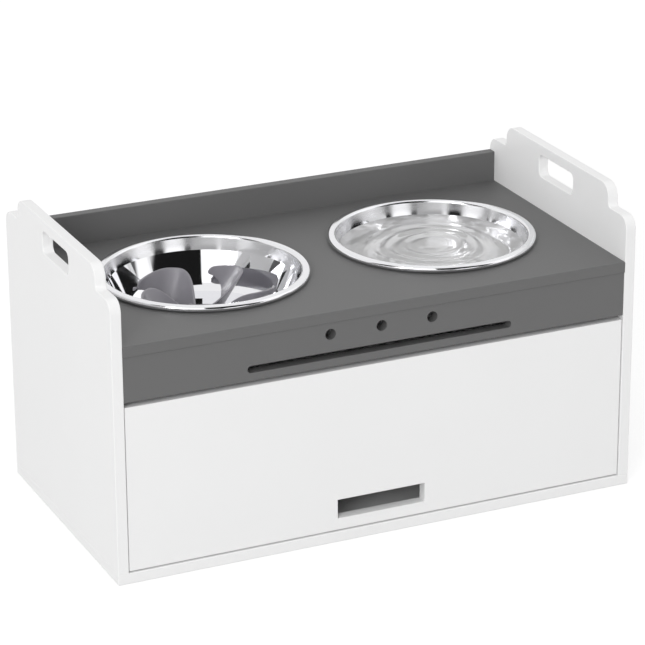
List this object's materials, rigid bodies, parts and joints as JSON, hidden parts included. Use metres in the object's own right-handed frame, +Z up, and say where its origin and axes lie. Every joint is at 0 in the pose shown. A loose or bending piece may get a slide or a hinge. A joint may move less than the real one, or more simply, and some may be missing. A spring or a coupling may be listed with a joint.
{
  "type": "elevated dog feeder with storage",
  "caption": "Raised pet feeder: a boxed cabinet with a flip-up front door, hand grips in stepped side panels, steel bowls set in the top and a swirl-bladed slow-feeder insert.",
  "frame": {"origin": "on the floor, under the middle of the base plate", "axes": "+X to the right seen from the front, +Y to the back, +Z up; the door faces -Y"},
  "size_m": [0.6, 0.315, 0.337],
  "materials": {
    "white_board": "painted board, satin white",
    "grey_board": "painted board, satin dark grey",
    "polished_steel": "mirror-polished stainless steel",
    "feeder_plastic": "moulded grey plastic, satin",
    "fitting_plastic": "moulded white plastic",
    "fitting_steel": "zinc-plated steel",
    "cam_metal": "die-cast zinc",
    "magnet": "ferrite",
    "dowel_wood": "plain beech"
  },
  "bodies": {
    "cabinet": {"base_plate": "white_board", "left_side_panel": "white_board", "right_side_panel": "white_board", "back_panel": "white_board", "tabletop": "grey_board", "backsplash": "grey_board", "apron": "grey_board", "catch_housings": "fitting_plastic", "door_pivot_pins": "fitting_steel", "catch_pole_plates": "fitting_steel", "catch_magnets": "magnet", "catch_screws": "fitting_steel", "base_screws": "fitting_steel", "base_dowels": "dowel_wood", "tabletop_dowels": "dowel_wood", "apron_dowels": "dowel_wood", "back_panel_dowels": "dowel_wood", "backsplash_dowels": "dowel_wood", "tabletop_cams": "cam_metal", "apron_cams": "cam_metal", "back_panel_cams": "cam_metal", "backsplash_cams": "cam_metal", "tabletop_cam_bolts": "fitting_steel", "apron_cam_bolts": "fitting_steel", "back_panel_cam_bolts": "fitting_steel", "backsplash_cam_bolts": "fitting_steel"},
    "flip_door": {"door": "white_board", "door_bushes": "fitting_plastic", "strike_plates": "fitting_steel", "strike_plate_screws": "fitting_steel"},
    "food_dish": {"food_bowl": "polished_steel"},
    "water_dish": {"water_bowl": "polished_steel"},
    "feeder_insert": {"slow_feeder": "feeder_plastic"}
  },
  "joints": [
    {"name": "door_hinge", "type": "hinge", "parent": "cabinet", "child": "flip_door", "pos_m": [0, -0.15, 0.1895], "axis": [-1, 0, 0], "range_deg": [0, 90]},
    {"name": "food_bowl_lift", "type": "slide", "parent": "cabinet", "child": "food_dish", "axis": [0, 0, 1], "range_m": [0, 0.08]},
    {"name": "water_bowl_lift", "type": "slide", "parent": "cabinet", "child": "water_dish", "axis": [0, 0, 1], "range_m": [0, 0.08]},
    {"name": "slow_feeder_lift", "type": "slide", "parent": "food_dish", "child": "feeder_insert", "axis": [0, 0, 1], "range_m": [0, 0.08]}
  ]
}
